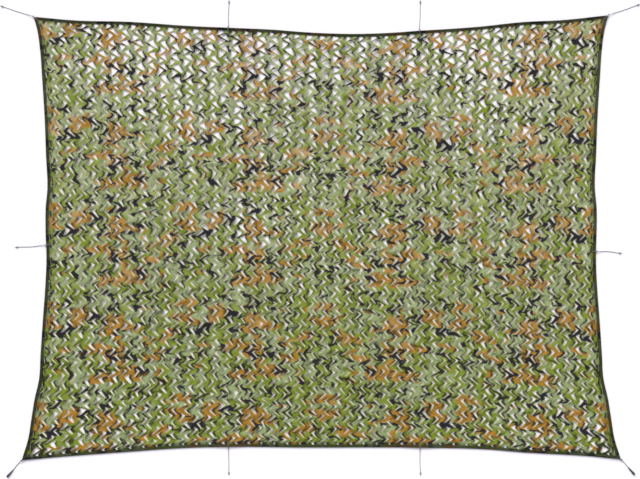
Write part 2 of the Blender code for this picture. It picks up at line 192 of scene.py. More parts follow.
# How the leaves' rise, the other sides' dip and the painted shade of the folds vary: the
# middle, the spread, the least and the most.
LEAF_RISE = (1.0, 0.35, 0.2, 1.9)
LEAF_SINK = (0.55, 0.45, -0.5, 1.0)
FOLD_SHADE = (0.90, 0.36, 0.0, 1.4)

# In repeats of the leaves from the rim: where the cuts swing and stray in full, where the
# ridges begin beside the sides, and where the cloth starts down to the hem and is down.
FULL_SWING = 0.75
FULL_STRAY = 1.5
RIDGE_START = 1.0
RIM_REACH = 0.5
RIM_DOWN = 0.1
RIM_SHADE = 0.50  # how dark the painted shade makes the cloth there

STRAY = 0.075  # of a repeat: how far the cuts stray from an even layout
STRAY_WAVES = 14
STRAY_LENGTHS = (1.8, 5.5)  # of those waves, in repeats

CUT_WIDTH = 0.0091  # of a cut where the net is slack
CUT_SPREAD = 0.34  # how much the cuts' widths differ
CUT_LIMITS = (0.002, 0.040)
# Where the net is pulled open: the middle of the place in X and Y, its reach in X and Y,
# and how much wider the cuts are there.
OPEN_PLACES = (
    (-1.08, 1.36, 0.66, 0.32, 0.024),
    (-0.10, 1.34, 0.48, 0.30, 0.020),
    (1.05, 1.36, 0.62, 0.32, 0.027),
    (-0.95, 0.90, 0.42, 0.28, 0.011),
    (-0.15, 0.80, 0.45, 0.26, 0.007),
    (1.00, 0.86, 0.36, 0.26, 0.011),
    (-0.70, 0.16, 0.42, 0.26, 0.008),
    (0.10, 0.14, 0.40, 0.22, 0.001),
    (1.05, 0.20, 0.30, 0.24, 0.004),
    (-1.75, -1.35, 0.40, 0.26, 0.004),
    (1.75, -1.35, 0.40, 0.26, 0.004),
    (0.10, -0.85, 1.00, 0.45, -0.004),
)
SIDE_CUTS = (0.30, 0.60)  # how far the first two lines of cuts open beside a side hem
CORNER_GAPS = ((-1.983, -1.479), (1.974, -1.479))  # a round gap by each lower corner
CORNER_REACH = 0.03  # how near to such a place a cut has to be to make the gap
CORNER_GAP_WIDTH = 0.046
CORNER_RING = (0.034, 0.012)  # the dark ring round it, part print and part painted shade: its radius and how soft it is
DARKEST = 1.5  # the painted shade of that ring, and the most that any painted shade may be
HOLE_RADIUS = 0.006  # of the holes in the cloth for the hitches

rng = np.random.default_rng(24)


# ------------ reading tables and lines


def smooth_read(rows, share):
    """A table read at shares of its first column, on a smooth curve through its rows."""
    table = np.array(rows, dtype=float)
    keys, values = table[:, 0], table[:, 1:]
    slopes = np.gradient(values, keys, axis=0)
    share = np.asarray(share, dtype=float)
    k = np.clip(np.searchsorted(keys, share) - 1, 0, len(keys) - 2)
    span = (keys[k + 1] - keys[k])[..., None]
    t = (share - keys[k])[..., None] / span
    return (
        values[k] * (2 * t**3 - 3 * t**2 + 1)
        + slopes[k] * span * (t**3 - 2 * t**2 + t)
        + values[k + 1] * (3 * t**2 - 2 * t**3)
        + slopes[k + 1] * span * (t**3 - t**2)
    )


def smooth_ring(rows, count):
    """Points on a smooth closed curve through rows of numbers."""
    at = np.arange(count) * len(rows) / count
    k = np.floor(at).astype(int)
    t = (at - k)[:, None]
    before, here, after, beyond = (rows[(k + step) % len(rows)] for step in (-1, 0, 1, 2))
    return 0.5 * (
        2 * here
        + (after - before) * t
        + (2 * before - 5 * here + 4 * after - beyond) * t**2
        + (3 * here - before - 3 * after + beyond) * t**3
    )


def read_between(rows, keys, at):
    """Rows of numbers that belong to keys, read straight between them."""
    return np.stack([np.interp(at, keys, column) for column in rows.T], axis=-1)


def distance_along(line):
    """How far along a line of points each of them is."""
    return np.concatenate(([0.0], np.cumsum(np.linalg.norm(np.diff(line, axis=0), axis=1))))


def unit(vectors):
    vectors = np.asarray(vectors, dtype=float)
    return vectors / np.linalg.norm(vectors, axis=-1, keepdims=True)


# ------------ the net's plan


def edge_point(edge, number):
    """Points of an edge at grid numbers, left to right or bottom to top."""
    ties = sorted(tie.share for tie in TIES if tie.hold == edge)
    if edge in ("top", "bottom"):
        count, cells = COLUMNS, TIE_COLUMNS
        start, end = np.array(CORNERS[edge + "_left"]), np.array(CORNERS[edge + "_right"])
        inward = np.array((0.0, -1.0 if edge == "top" else 1.0))
    else:
        count, cells = ROWS, (TIE_ROW,)
        start, end = np.array(CORNERS["bottom_" + edge]), np.array(CORNERS["top_" + edge])
        inward = np.array((1.0 if edge == "left" else -1.0, 0.0))
    lines = [0.0] + [cell + 0.5 for cell in cells] + [float(count)]
    share = np.interp(number, lines, [0.0] + ties + [1.0])
    if edge in ("top", "bottom"):
        draw = smooth_read(TOP_DRAW if edge == "top" else BOTTOM_DRAW, share)
    else:
        draw = smooth_read(SIDE_DRAW, 1.0 - share)
    return start + (end - start) * np.asarray(share)[..., None] + inward * draw


def round_the_rim(steps):
    """The edges anticlockwise from the lower left corner, each with its grid numbers."""
    across = np.arange(COLUMNS * steps) / steps
    up = np.arange(ROWS * steps) / steps
    return (("bottom", across), ("right", up), ("top", COLUMNS - across), ("left", ROWS - up))


def rim_points(steps):
    return np.concatenate([edge_point(edge, at) for edge, at in round_the_rim(steps)])


def inward_steps():
    """At each grid place round the rim, the step that is one unit further in."""
    outline = rim_points(1)
    after = unit(np.roll(outline, -1, axis=0) - outline)
    before = np.roll(after, 1, axis=0)
    turned = np.stack((-before[:, 1] - after[:, 1], before[:, 0] + after[:, 0]), axis=1)
    return turned / (1.0 + (before * after).sum(1))[:, None]


def rim_lifts():
    """How far each grid place round the rim is raised by the hitches that pass below it."""
    lifts = np.zeros(2 * (COLUMNS + ROWS))
    for corner in (0, COLUMNS, COLUMNS + ROWS, 2 * COLUMNS + ROWS):
        lifts[corner] = HEM_LIFT
        lifts[corner - 1] = lifts[corner + 1] = HEM_LIFT / 2
    held = [column + side for column in TIE_COLUMNS for side in (0, 1)]
    held += [2 * COLUMNS + ROWS - place for place in held]
    held += [COLUMNS + TIE_ROW, COLUMNS + TIE_ROW + 1]
    held += [2 * (COLUMNS + ROWS) - TIE_ROW, 2 * (COLUMNS + ROWS) - TIE_ROW - 1]
    lifts[held] = HEM_LIFT
    return lifts


def rim_between(steps):
    """Steps inwards and lifts round the rim, also at the places between its grid places."""
    rows = np.column_stack((inward_steps(), rim_lifts()))
    ring = np.concatenate((rows, rows[:1]))
    read = read_between(ring, np.arange(len(ring)), np.arange(len(rows) * steps) / steps)
    return read[:, :2], read[:, 2]


class Plan:
    """The net's plan: where a place of its grid lies on the floor."""

    def __init__(self, inset):
        ring = np.column_stack((rim_points(1) + inset * inward_steps(), rim_lifts()))
        ring = np.concatenate((ring, ring[:1]))
        right, top, left = COLUMNS, COLUMNS + ROWS, 2 * COLUMNS + ROWS
        self.edges = {
            "bottom": ring[: right + 1],
            "right": ring[right : top + 1],
            "top": ring[top : left + 1][::-1],
            "left": ring[left:][::-1],
        }

    def edge(self, name, number):
        return read_between(self.edges[name], np.arange(len(self.edges[name])), number)

    def at(self, i, j):
        """X, Y and the rim's lift at grid places, spread evenly between the four edges."""
        u, v = (i / COLUMNS)[..., None], (j / ROWS)[..., None]
        bottom, top = self.edge("bottom", i), self.edge("top", i)
        left, right = self.edge("left", j), self.edge("right", j)
        low = (1 - u) * self.edges["bottom"][0] + u * self.edges["bottom"][-1]
        high = (1 - u) * self.edges["top"][0] + u * self.edges["top"][-1]
        return (1 - v) * bottom + v * top + (1 - u) * left + u * right - (1 - v) * low - v * high


def looseness(u, v):
    """How far the leaves stand up: nothing where the net lies on the floor, 1.25 at most."""
    broad = -np.cos(3.2 * np.pi * (u - 0.5)) * np.cos(2.4 * np.pi * (v - 0.5))
    fine = np.sin(7.1 * np.pi * u - 2.0 * v) * np.sin(5.3 * np.pi * v + 1.1)
    return np.clip(0.64 + 0.66 * broad + 0.36 * fine, 0.0, 1.25)


# ------------ surface finishes


class Signal:
    """An output of a shader node that takes part in sums as a number does."""

    def __init__(self, finish, socket):
        self.finish = finish
        self.socket = socket

    def sum(self, operation, first, second=0.0):
        return self.finish.node("Math", {"operation": operation}, {0: first, 1: second})

    def __add__(self, other):
        return self.sum("ADD", self, other)

    def __sub__(self, other):
        return self.sum("SUBTRACT", self, other)

    def __rsub__(self, other):
        return self.sum("SUBTRACT", other, self)

    def __mul__(self, other):
        return self.sum("MULTIPLY", self, other)

    __radd__ = __add__
    __rmul__ = __mul__

    def sin(self):
        return self.sum("SINE", self)

    def cos(self):
        return self.sum("COSINE", self)

    def size(self):
        return self.sum("ABSOLUTE", self)

    def rises(self, low, high):
        """0 below low, 1 above high, and a smooth rise between them."""
        settings = {"interpolation_type": "SMOOTHSTEP"}
        return self.finish.node("MapRange", settings, {0: self, 1: low, 2: high})


class Finish:
    """One material, whose nodes all come from node()."""

    def __init__(self, name, **constants):
        self.material = bpy.data.materials.new(name)
        self.material.use_nodes = True
        self.tree = self.material.node_tree
        self.shader = self.tree.nodes["Principled BSDF"]
        for socket, value in constants.items():
            self.shader.inputs[socket.replace("_", " ")].default_value = value

    def node(self, kind, settings, inputs, out=0):
        made = self.tree.nodes.new("ShaderNode" + kind)
        for name, value in settings.items():
            setattr(made, name, value)
        for name, value in inputs.items():
            if isinstance(value, Signal):
                self.tree.links.new(value.socket, made.inputs[name])
            else:
                made.inputs[name].default_value = value
        return Signal(self, made.outputs[out])

    def mix(self, share, low, high):
        """A colour between two."""
        return self.node("Mix", {"data_type": "RGBA"}, {0: share, 6: low, 7: high}, out=2)

    def attribute(self, name):
        return self.node("Attribute", {"attribute_name": name}, {}, out=2)

    def print_place(self):
        """The two coordinates of the map that the print and the weave follow."""
        at = self.node("UVMap", {"uv_map": "Print"}, {})
        return [self.node("SeparateXYZ", {}, {0: at}, out=axis) for axis in (0, 1)]

    def point(self, x, y, z=0.0):
        return self.node("CombineXYZ", {}, {0: x, 1: y, 2: z})

    def noise(self, at, scale, detail=2.0, roughness=0.5):
        inputs = {"Vector": at, "Scale": scale, "Detail": detail, "Roughness": roughness}
        return self.node("TexNoise", {"noise_dimensions": "3D"}, inputs)

    def wear(self, socket, value):
        """Lead a colour or a value into the shader."""
        self.tree.links.new(value.socket, self.shader.inputs[socket])

    def bump(self, height, strength, distance):
        inputs = {"Strength": strength, "Distance": distance, "Height": height}
        self.wear("Normal", self.node("Bump", {}, inputs))


LIME = (0.182, 0.252, 0.022, 1.0)
SAGE = (0.270, 0.340, 0.152, 1.0)
BROWN = (0.365, 0.184, 0.018, 1.0)
BLACK = (0.014, 0.013, 0.024, 1.0)
# Faded cloth, and the painted highlight along the cut edges.
CREAM = (0.950, 0.910, 0.660, 1.0)
# Painted shade: the cloth's colour in the leaf folds, in blotches and by the rim.
PAINTED_SHADE_GREEN = (0.014, 0.015, 0.004, 1.0)
HEM_SHADE_GREEN = (0.004, 0.009, 0.004, 1.0)
HEM_SHADE = 0.87  # how far painted shade takes the hem's print over to that green
THREAD_GREEN = (0.018, 0.030, 0.012, 1.0)
THREAD_DUST = (0.075, 0.090, 0.045, 1.0)
CORD_COLOURS = {  # painted shade in the hollows between the strands, and their backs
    "cord_grey": ((0.060, 0.060, 0.055, 1.0), (0.300, 0.300, 0.280, 1.0)),
    "cord_black": ((0.008, 0.008, 0.008, 1.0), (0.045, 0.045, 0.045, 1.0)),
}

PRINT_REPEAT = (0.994, 0.672)
PRINT_WOBBLE = 0.060  # how far the rims of its blotches stray
# The print's layers: how fine one is across and up, where in the noise it starts, its detail,
# and the values of the noise between which it comes in.
Layer = namedtuple("Layer", "wide high start detail low full")
SAGE_LAYER = Layer(1.35, 1.10, 0.0, 2.0, 0.485, 0.525)
BROWN_LAYER = Layer(1.10, 0.95, 17.4, 2.0, 0.546, 0.560)
STREAK_LAYER = Layer(1.75, 1.60, 27.6, 1.0, 0.040, 0.056)
PATCH_LAYER = Layer(1.20, 1.10, 41.8, 1.0, 0.510, 0.525)

# The net's foot and top on the print's map, how faded the cloth is and how dark its painted
# shade in blotches is at the foot, and how much paler the cloth and weaker that shade are at
# the top.
NET_SPAN = (-1.4, 1.4)
FADE, TOP_PALING = 0.02, 0.26
BLOTCH_SHADE, BLOTCH_SHADE_FALL = 0.86, 0.42
PAINTED_SHADE_STRENGTH = 0.92  # of the painted shade at the leaf folds, by the rim and round the corner gaps, how much shows
EDGE_HIGHLIGHT = 0.80  # and of the painted highlight on a cut edge
THREAD_PITCH = 0.0016  # of two threads of the weave


def repeating_noise(finish, x, y, layer):
    """A layer's noise, which repeats with the print: it is read round a circle each way."""
    turn_x = x * (2 * math.pi / PRINT_REPEAT[0])
    turn_y = y * (2 * math.pi / PRINT_REPEAT[1])
    at = finish.point(
        turn_x.cos() * layer.wide + layer.start,
        turn_x.sin() * layer.wide,
        turn_y.cos() * layer.high,
    )
    inputs = {"Vector": at, "W": turn_y.sin() * layer.high, "Scale": 1.0, "Detail": layer.detail}
    return finish.node("TexNoise", {"noise_dimensions": "4D"}, inputs)


def camouflage(finish):
    """Blotches in four colours, mirrored about the net's middle, and faded."""
    along, up = finish.print_place()
    aside, higher = (
        (finish.noise(at, scale=22.0, detail=3.0, roughness=0.6) - 0.5) * PRINT_WOBBLE
        for at in (finish.point(along, up), finish.point(up, along, 5.0))
    )
    layers = SAGE_LAYER, BROWN_LAYER, STREAK_LAYER, PATCH_LAYER
    sage, brown, streak, patch = (
        repeating_noise(finish, along.size() + aside, up + higher, layer) for layer in layers
    )
    off_streak = (streak - 0.5).size().rises(STREAK_LAYER.low, STREAK_LAYER.full)
    black = (1 - off_streak) * patch.rises(PATCH_LAYER.low, PATCH_LAYER.full)
    colour = finish.mix(sage.rises(SAGE_LAYER.low, SAGE_LAYER.full), LIME, SAGE)
    colour = finish.mix(brown.rises(BROWN_LAYER.low, BROWN_LAYER.full), colour, BROWN)
    worn = finish.noise(finish.point(along, up, 3.0), scale=9.0, detail=3.0).rises(0.35, 0.75)
    colour = finish.mix(worn * (up.rises(*NET_SPAN) * TOP_PALING + FADE), colour, CREAM)
    return finish.mix(black, colour, BLACK), along, up


def weave(along, up):
    """The height of a plain weave's threads."""
    turn = 2 * math.pi / THREAD_PITCH
    return (along * turn).sin() * (up * turn).sin()


def net_finish():
    """Printed cloth with a plain weave, a painted highlight along its cut edges, and painted
    shade at its leaf folds, in blotches and by its rim.
    """
    finish = Finish("net_cloth", Roughness=0.8, Specular_IOR_Level=0.2)
    colour, along, up = camouflage(finish)
    mottle = finish.noise(finish.point(along, up, 8.0), scale=24.0)
    # Painted shade in soft blotches, darker towards the bottom.
    blotch_shade = mottle.rises(0.45, 0.72) * (BLOTCH_SHADE - up.rises(*NET_SPAN) * BLOTCH_SHADE_FALL)
    colour = finish.mix(blotch_shade, colour, PAINTED_SHADE_GREEN)
    # Painted shade at the leaf folds, by the rim and in rings round the corner gaps.
    painted_shade = finish.attribute("painted_shade").rises(0.0, 0.9) * PAINTED_SHADE_STRENGTH
    colour = finish.mix(painted_shade, colour, PAINTED_SHADE_GREEN)
    # Painted highlight along the cut edges, where the raised leaves catch the light.
    edge = finish.attribute("edge").rises(0.10, 0.80) * EDGE_HIGHLIGHT
    finish.wear("Base Color", finish.mix(edge, colour, CREAM))
    finish.wear("Roughness", mottle * 0.2 + 0.7)
    finish.bump(weave(along, up), strength=0.4, distance=0.0003)
    return finish.material


def hem_finish():
    """The same cloth, rolled and darkened by painted shade."""
    finish = Finish("net_hem", Roughness=0.85, Specular_IOR_Level=0.2)
    colour, along, up = camouflage(finish)
    finish.wear("Base Color", finish.mix(HEM_SHADE, colour, HEM_SHADE_GREEN))
    finish.wear("Roughness", finish.noise(finish.point(along, up), scale=40.0) * 0.2 + 0.72)
    finish.bump(weave(along, up), strength=0.3, distance=0.0002)
    return finish.material


def thread_finish():
    """Dark green sewing thread, dustier in places."""
    finish = Finish("hem_thread", Roughness=0.7, Sheen_Weight=0.1)
    at = finish.node("TexCoord", {}, {}, out=3)
    dust = finish.noise(at, scale=30.0)
    finish.wear("Base Color", finish.mix(dust, THREAD_GREEN, THREAD_DUST))
    finish.wear("Roughness", dust * 0.2 + 0.6)
    finish.bump(finish.noise(at, scale=2400.0), strength=0.3, distance=0.0001)
    return finish.material


def cord_finish(name):
    """Laid cord: shade in the hollows between its strands, and fine fibres."""
    finish = Finish(name, Roughness=0.75, Sheen_Weight=0.2)
    fibres = finish.noise(finish.node("TexCoord", {}, {}, out=3), scale=900.0, detail=3.0)
    back = finish.attribute("ridge") * 0.75 + fibres * 0.25
    finish.wear("Base Color", finish.mix(back, *CORD_COLOURS[name]))
    finish.wear("Roughness", fibres * 0.25 + 0.62)
    finish.bump(fibres, strength=0.4, distance=0.0002)
    return finish.material


# ------------ making meshes


def put_map(mesh, name, per_corner):
    """A UV map. OFBake, the bake map, is laid out so that no two faces share a place."""
    layer = mesh.uv_layers.new(name=name)
    layer.uv.foreach_set("vector", per_corner.astype(np.float32).ravel())


def new_piece(name, points, faces, material, slot, numbers=None, print_map=None, smooth=True):
    """A named piece from lists, with numbers and a place on the print at each point."""
    mesh = bpy.data.meshes.new(name)
    mesh.from_pydata(points, [], faces)
    for key, values in (numbers or {}).items():
        mesh.attributes.new(key, "FLOAT", "POINT").data.foreach_set("value", values)
    if print_map is not None:
        corners = np.empty(len(mesh.loops), dtype=np.int32)
        mesh.loops.foreach_get("vertex_index", corners)
        put_map(mesh, "Print", print_map[corners])
    mesh.materials.append(material)
    if smooth:
        mesh.shade_smooth()
    piece = bpy.data.objects.new(name, mesh)
    bpy.context.scene.collection.objects.link(piece)
    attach(piece, "root")
    return piece


# ------------ the cloth


def cut_rows(line):
    """The first row of each cut on a line of cuts."""
    first = CUT_START - STEPS // 2 if line % 2 == 0 else CUT_START
    rows = first + STEPS * np.arange(ROWS + 1)
    return rows[(rows + CUT_LEAST <= ROWS * STEPS) & (rows + CUT_ROWS >= CUT_LEAST)]


def cut_widths(line, x, y):
    """The openings of the cuts of one line, at their places in X and Y."""
    width = np.full_like(x, CUT_WIDTH)
    for middle_x, middle_y, reach_x, reach_y, wider in OPEN_PLACES:
        away = ((x - middle_x) / reach_x) ** 2 + ((y - middle_y) / reach_y) ** 2
        width += wider * np.exp(-away)
    width = width * np.exp(rng.normal(0.0, CUT_SPREAD, len(x)))
    from_side = min(line, CUT_LINES - 1 - line)
    if from_side < len(SIDE_CUTS):
        width = width * SIDE_CUTS[from_side]
    for corner_x, corner_y in CORNER_GAPS:
        away = np.hypot(x - corner_x, y - corner_y)
        width = np.where(away < CORNER_REACH, CORNER_GAP_WIDTH, width)
    return np.clip(width, *CUT_LIMITS)


def varied(row, count):
    middle, spread, least, most = row
    return np.clip(rng.normal(middle, spread, count), least, most)


def lay_out_cuts(plan):
    """For each line of cuts and row of faces: the opening, how far the leaf on the hollow side
    rises, how far the other side dips, and how dark the painted shade of the leaf folds is."""
    last = ROWS * STEPS
    cuts = np.zeros((CUT_LINES, 4, last + 1))
    for line in range(CUT_LINES):
        rows = cut_rows(line)
        middle = np.clip(rows + CUT_ROWS / 2, 0, last)
        place = plan.at(np.full(len(rows), (line + 0.5) / 2), middle / STEPS)
        width = cut_widths(line, place[:, 0], place[:, 1])
        rise = LEAF_LIFT * varied(LEAF_RISE, len(rows))
        sink = LEAF_DIP * varied(LEAF_SINK, len(rows))
        shade = varied(FOLD_SHADE, len(rows))
        sizes = np.stack((width, rise, sink, shade))
        for step, shares in enumerate(zip(CUT_SHAPE, LEAF_SHAPE, LEAF_SHAPE, FOLD_SHADE_SHAPE)):
            row = rows + step
            on = (row > 0) & (row < last)
            cuts[line][:, row[on]] = sizes[:, on] * np.array(shares)[:, None]
    return cuts


def beside_cuts(cuts, line, hollow):
    """The openings of a line of cuts, and how far the cloth on one side of it rises and how
    dark its painted shade is there."""
    if not 0 <= line < CUT_LINES:
        return np.zeros((3, ROWS * STEPS + 1))
    opening, leaf, dip, painted_shade = cuts[line]
    return (opening, leaf, painted_shade) if hollow else (opening, -dip, painted_shade * BACK_FOLD_SHADE)


def stray(i, j):
    """How far a place of the net strays along both ways of its grid, as soft waves."""
    waves = np.random.default_rng(5)
    strayed = []
    for _ in range(2):
        total = np.zeros(np.broadcast(i, j).shape)
        for _ in range(STRAY_WAVES):
            heading = waves.uniform(0.0, 2 * np.pi)
            wave = 2 * np.pi / waves.uniform(*STRAY_LENGTHS)
            start = waves.uniform(0.0, 2 * np.pi)
            total += np.sin(wave * (i * np.cos(heading) + j * np.sin(heading)) + start)
        strayed.append(STRAY * total * math.sqrt(2.0 / STRAY_WAVES))
    return strayed


def cloth_rows(plan, cuts):
    """The cloth between each two lines of cuts, as grids of points with their numbers."""
    rows = np.arange(ROWS * STEPS + 1)
    swing = 1 - np.abs((rows - APEX + STEPS // 2) % STEPS - STEPS // 2) / (STEPS // 4)
    for part in range(CUT_LINES + 1):
        first, last = part == 0, part == CUT_LINES
        count = ACROSS // 2 if first or last else ACROSS
        hollow = part % 2 == 1
        left_gap, left_leaf, left_shade = beside_cuts(cuts, part - 1, hollow)
        right_gap, right_leaf, right_shade = beside_cuts(cuts, part, hollow)
        start = 0.0 if first else (part - 0.5) / 2 + left_gap / 2 / PITCH[0]
        end = COLUMNS if last else (part + 0.5) / 2 - right_gap / 2 / PITCH[0]
        share = (np.arange(count + 1) / count)[:, None]
        flat_i = start * (1 - share) + end * share
        flat_j = np.broadcast_to(rows / STEPS, flat_i.shape)
        from_side = np.minimum(flat_i, COLUMNS - flat_i)
        from_end = np.minimum(flat_j, ROWS - flat_j)
        from_rim = np.minimum(from_side, from_end)
        near_rim = np.clip((RIM_REACH - from_rim) / (RIM_REACH - RIM_DOWN), 0.0, 1.0)

        leaf_fall = np.array(LEAF_FALL[: count + 1])[:, None]
        left_rise, right_rise = left_leaf * leaf_fall, right_leaf * leaf_fall[::-1]
        i = flat_i - swing * ZIGZAG / PITCH[0] * np.clip(from_side / FULL_SWING, 0.0, 1.0)
        i = i + LEAF_PULL * (left_rise - right_rise) / PITCH[0]
        stray_i, stray_j = stray(flat_i, flat_j)
        free = np.clip(from_rim / FULL_STRAY, 0.0, 1.0)
        x, y, lift = np.moveaxis(plan.at(i + stray_i * free, flat_j + stray_j * free), -1, 0)

        ridge = 0.5 - 0.5 * np.cos(np.pi * flat_i)
        ridge = ridge * np.clip(from_side - RIDGE_START, 0.0, 1.0) * np.clip(from_end, 0.0, 1.0)
        ridge = ridge * looseness(i / COLUMNS, flat_j / ROWS)
        raised = RIDGE_HEIGHT * ridge + left_rise + right_rise
        z = CLOTH_HEIGHT + LOFT * np.tanh(raised / LOFT)
        z = z * (1 - near_rim) + near_rim * (SEAM_HEIGHT + lift)

        # Painted shade: at the leaf folds, by the rim, and in a ring round each corner gap.
        shade_fall = np.array(FOLD_SHADE_FALL[: count + 1])[:, None]
        shade = left_shade * shade_fall + right_shade * shade_fall[::-1] + RIM_SHADE * near_rim
        for corner_x, corner_y in CORNER_GAPS:
            off_ring = np.hypot(x - corner_x, y - corner_y) - CORNER_RING[0]
            shade = shade + DARKEST * np.exp(-((off_ring / CORNER_RING[1]) ** 2))
        # Painted highlight along the cut edges.
        edge = np.zeros_like(i)
        edge[0] = (left_gap > 0) * (HOLLOW_EDGE_HIGHLIGHT if hollow else 1.0)
        edge[-1] = (right_gap > 0) * (HOLLOW_EDGE_HIGHLIGHT if hollow else 1.0)
        edge[1], edge[-2] = EDGE_HIGHLIGHT_SPREAD * edge[0], EDGE_HIGHLIGHT_SPREAD * edge[-1]
        print_x, print_y = (flat_i - COLUMNS / 2) * PITCH[0], (flat_j - ROWS / 2) * PITCH[1]
        yield {
            "points": np.stack((x, y, z), axis=-1),
            "edge": edge * (1 - near_rim),
            "painted_shade": np.clip(shade, 0.0, DARKEST),
            "print": np.stack((print_x, print_y), axis=-1),
            "cut_left": left_gap > 0,
        }


def hitch_holes():
    """Where the hitches go down through the cloth."""
    inset = HEM_WIDTH + GAP_EDGE + CORD_DIAMETER / 2
    holds = [tie_hold(tie) for tie in TIES]
    return np.array([here - out * inset * slant for here, out, slant in holds])


def join_parts(parts):
    """The faces of parts, joined wherever no cut is between them, and their points' numbers."""
    columns = {"points": [], "edge": [], "painted_shade": [], "print": []}
    faces, count, before = [], 0, None
    for part in parts:
        shape = part["edge"].shape
        index = count + np.arange(shape[0] * shape[1]).reshape(shape)
        count += index.size
        if before is not None:
            closed = ~part["cut_left"]
            index[0, closed] = before[-1, closed]
        before = index
        corners = index[:-1, :-1], index[1:, :-1], index[1:, 1:], index[:-1, 1:]
        faces.append(np.stack(corners, axis=-1).reshape(-1, 4))
        for key, lists in columns.items():
            lists.append(part[key].reshape(index.size, -1))
    return np.concatenate(faces), {key: np.concatenate(lists) for key, lists in columns.items()}


def plan_area(points, faces):
    """The area of faces of four corners, seen from above."""
    corner = points[faces]
    one, other = corner[:, 2] - corner[:, 0], corner[:, 3] - corner[:, 1]
    return float(np.abs(one[:, 0] * other[:, 1] - one[:, 1] * other[:, 0]).sum() / 2)


def make_strip(number, parts, material):
    """One strip of the net, from one line of cuts to another, with its flat size and area."""
    faces, columns = join_parts(parts)
    middles = columns["points"][faces].mean(axis=1)[:, :2]
    away = np.linalg.norm(middles[:, None] - hitch_holes()[None], axis=2).min(axis=1)
    faces = faces[away > HOLE_RADIUS]
    used, faces = np.unique(faces, return_inverse=True)
    faces = faces.reshape(-1, 4)
    columns = {key: values[used] for key, values in columns.items()}
    points = columns["points"]
    numbers = {key: columns[key].ravel() for key in ("edge", "painted_shade")}
    name, print_map = f"net_strip_{number}", columns["print"]
    strip = new_piece(
        name, points.tolist(), faces.tolist(), material, "net_cloth", numbers, print_map
    )
    solidify = strip.modifiers.new("thickness", "SOLIDIFY")
    solidify.thickness = CLOTH_THICKNESS
    solidify.offset = 0.0
    bpy.ops.object.select_all(action="DESELECT")
    strip.select_set(True)
    bpy.context.view_layer.objects.active = strip
    bpy.ops.object.modifier_apply(modifier=solidify.name)
    strip.select_set(False)
    lay_out_strip_map(strip.data, len(faces))
    width, length = np.ptp(points[:, :2], axis=0).tolist()
    return strip, (width, length), plan_area(points, faces)


def lay_out_strip_map(mesh, face_count):
    """A strip's bake map: its first skin in the left half and its other skin in the right."""
    flat = np.empty(2 * len(mesh.loops), dtype=np.float32)
    mesh.uv_layers["Print"].uv.foreach_get("vector", flat)
    flat = flat.reshape(-1, 2)
    low, high = flat.min(axis=0), flat.max(axis=0)
    share = BAKE_MARGIN + (flat - low) / (high - low) * (1 - 2 * BAKE_MARGIN)
    share[:, 0] /= 2
    share[4 * face_count : 8 * face_count, 0] += 0.5
    put_map(mesh, "OFBake", share)


def make_net():
    """The leaf-cut cloth, in strips that meet along its lines of cuts."""
    plan = Plan(CLOTH_INSET)
    parts = list(cloth_rows(plan, lay_out_cuts(plan)))
    material = net_finish()
    ends = np.linspace(0, len(parts), NET_STRIPS + 1).round().astype(int)
    spans = enumerate(zip(ends[:-1], ends[1:]), start=1)
    return [make_strip(number, parts[start:end], material) for number, (start, end) in spans]


# ------------ the hem

HEM_STEPS = 14  # rings of the hem to one grid place
# The hem's section: distance in from the edge and height, round the roll and out along the
# flap that is sewn down on the cloth, and back below it.
HEM_SECTION = (
    (0.0000, 0.0050), (0.0008, 0.0074), (0.0028, 0.0093), (0.0055, 0.0100), (0.0084, 0.0094),
    (0.0106, 0.0074), (0.0130, 0.0058), (0.0160, 0.0052), (0.0200, 0.0046), (0.0200, 0.0028),
    (0.0150, 0.0020), (0.0090, 0.0010), (0.0050, 0.0000), (0.0020, 0.0008), (0.0004, 0.0027),
)
HEM_ROLL = 0.012  # how far in the roll reaches; the flap lies beyond it
# The puckers' two waves: their length, and how strongly, how fast and from where it wanders.
PUCKER_WAVES = ((0.031, 3.0, 1.9, 0.0), (0.0527, 4.0, 1.3, 1.0))
PUCKER_IN = 0.0006  # how far the flap's rim swings with them
PUCKER_UP = 0.07  # how much the hem's height varies with them

STITCH_LENGTH = 0.0048
STITCH_RADIUS = 0.0005
STITCH_SIDES = 6
STITCH_TIP = 0.0010  # how far each end runs on down into the cloth
STITCH_TAPER = 0.6
STITCH_SPACING = 0.0085
STITCH_INSET = 0.0176  # of the stitches' line, from the net's edge
STITCH_HEIGHT = 0.0053


def make_hem():
    """The rolled hem, shaped round a rope that is not modelled, puckered where it is drawn in."""
    outline = rim_points(HEM_STEPS)
    steps, lifts = rim_between(HEM_STEPS)
    section = np.array(HEM_SECTION)
    count, sides = len(outline), len(section)
    along = distance_along(outline)
    pucker = np.zeros(count)
    for length, sway, slow, start in PUCKER_WAVES:
        pucker += 0.5 * np.sin(along * 2 * np.pi / length + sway * np.sin(along * slow + start))
    flap = np.where(section[:, 0] > HEM_ROLL, 1.0, 0.0)
    inset = section[:, 0] + PUCKER_IN * pucker[:, None] * flap
    height = section[:, 1] * (1 + PUCKER_UP * pucker[:, None])
    plan = outline[:, None] + steps[:, None] * inset[..., None]
    points = np.concatenate((plan, (height + lifts[:, None])[..., None]), axis=2)
    index = np.arange(count * sides).reshape(count, sides)
    ahead = np.roll(index, -1, axis=0)
    faces = np.stack((index, ahead, np.roll(ahead, -1, 1), np.roll(index, -1, 1)), axis=-1)
    points, faces = points.reshape(-1, 3).tolist(), faces.reshape(-1, 4).tolist()
    print_map = plan.reshape(-1, 2)
    hem = new_piece("net_hem", points, faces, hem_finish(), "net_cloth", print_map=print_map)
    lay_out_hem_map(hem.data, count, sides)
    return hem


